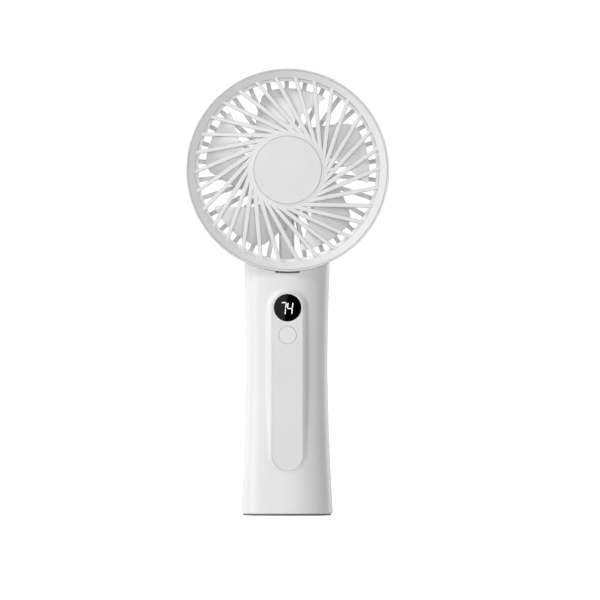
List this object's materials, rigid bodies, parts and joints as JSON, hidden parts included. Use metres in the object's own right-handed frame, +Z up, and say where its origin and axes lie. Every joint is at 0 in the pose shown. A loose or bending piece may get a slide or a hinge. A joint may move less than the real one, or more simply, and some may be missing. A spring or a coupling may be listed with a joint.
{
  "type": "handheld electric fan",
  "caption": "Handheld electric fan with a round caged head, slanted grille bars, a flared handle that stands on its own base, a control strip with a round display, and a power button.",
  "frame": {"origin": "middle of the base, on the surface that the fan stands on", "axes": "+Z up the handle to the head, -Y the way the air leaves and the control strip faces, +X to the right as seen from the front"},
  "size_m": [0.098, 0.0354, 0.2159],
  "materials": {
    "shell_white": "satin",
    "grille_white": "satin",
    "impeller_white": "satin",
    "strip_white": "satin",
    "cap_white": "satin",
    "button_white": "satin",
    "display_black": "glossy",
    "foot_rubber": "matte",
    "steel": "brushed",
    "winding_copper": "enamelled wire",
    "magnet_grey": "matte",
    "board_green": "solder mask",
    "chip_black": "matte",
    "cell_wrap": "shrink wrap",
    "cradle_grey": "matte",
    "socket_white": "satin",
    "wire_red": "satin",
    "wire_black": "satin",
    "foam_black": "matte"
  },
  "bodies": {
    "handle": {"front_shell": "shell_white", "rear_shell": "shell_white", "control_strip": "strip_white", "display_lens": "display_black", "base_cap": "shell_white", "foot_pad": "foot_rubber", "base_screw_left": "steel", "base_screw_right": "steel", "main_board": "board_green", "board_screw_1": "steel", "board_screw_2": "steel", "display_module": "chip_black", "tact_switch": "chip_black", "control_chip": "chip_black", "motor_connector": "socket_white", "battery_cell": "cell_wrap", "battery_cradle": "cradle_grey", "battery_pad": "foam_black", "battery_tab_top": "steel", "battery_tab_bottom": "steel", "battery_lead_positive": "wire_red", "battery_lead_negative": "wire_black", "charge_board": "board_green", "usb_port": "steel", "usb_port_tongue": "chip_black", "charge_ribbon": "socket_white", "handle_lead": "wire_black", "hinge_pin": "steel", "friction_washer_left": "steel", "friction_washer_right": "steel"},
    "head": {"rear_housing": "shell_white", "duct_cover": "shell_white", "rear_cap": "shell_white", "motor_lead": "wire_black", "motor_base": "steel", "stator_core": "steel", "stator_winding": "winding_copper", "motor_board": "board_green", "front_bearing": "steel", "rear_bearing": "steel", "motor_screw_1": "steel", "motor_screw_2": "steel", "motor_screw_3": "steel"},
    "impeller": {"impeller": "impeller_white", "rotor_bell": "steel", "magnet_ring": "magnet_grey", "motor_shaft": "steel", "shaft_clip": "steel"},
    "grille": {"front_grille": "grille_white", "centre_cap": "cap_white"},
    "button": {"power_button": "button_white", "switch_plunger": "wire_red"}
  },
  "joints": [
    {"name": "head_tilt", "type": "hinge", "parent": "handle", "child": "head", "pos_m": [0, 0.0115, 0.1165], "axis": [-1, 0, 0], "range_deg": [0, 90]},
    {"name": "impeller_spin", "type": "hinge", "parent": "head", "child": "impeller", "pos_m": [0, 0, 0.1669], "axis": [0, -1, 0], "continuous": true},
    {"name": "grille_twist", "type": "hinge", "parent": "head", "child": "grille", "pos_m": [0, 0, 0.1669], "axis": [0, -1, 0], "range_deg": [0, 12]},
    {"name": "button_press", "type": "slide", "parent": "handle", "child": "button", "axis": [0, 1, 0], "range_m": [0, 0.0004], "stiffness_N_per_m": 1500, "springref_m": -0.0003}
  ]
}
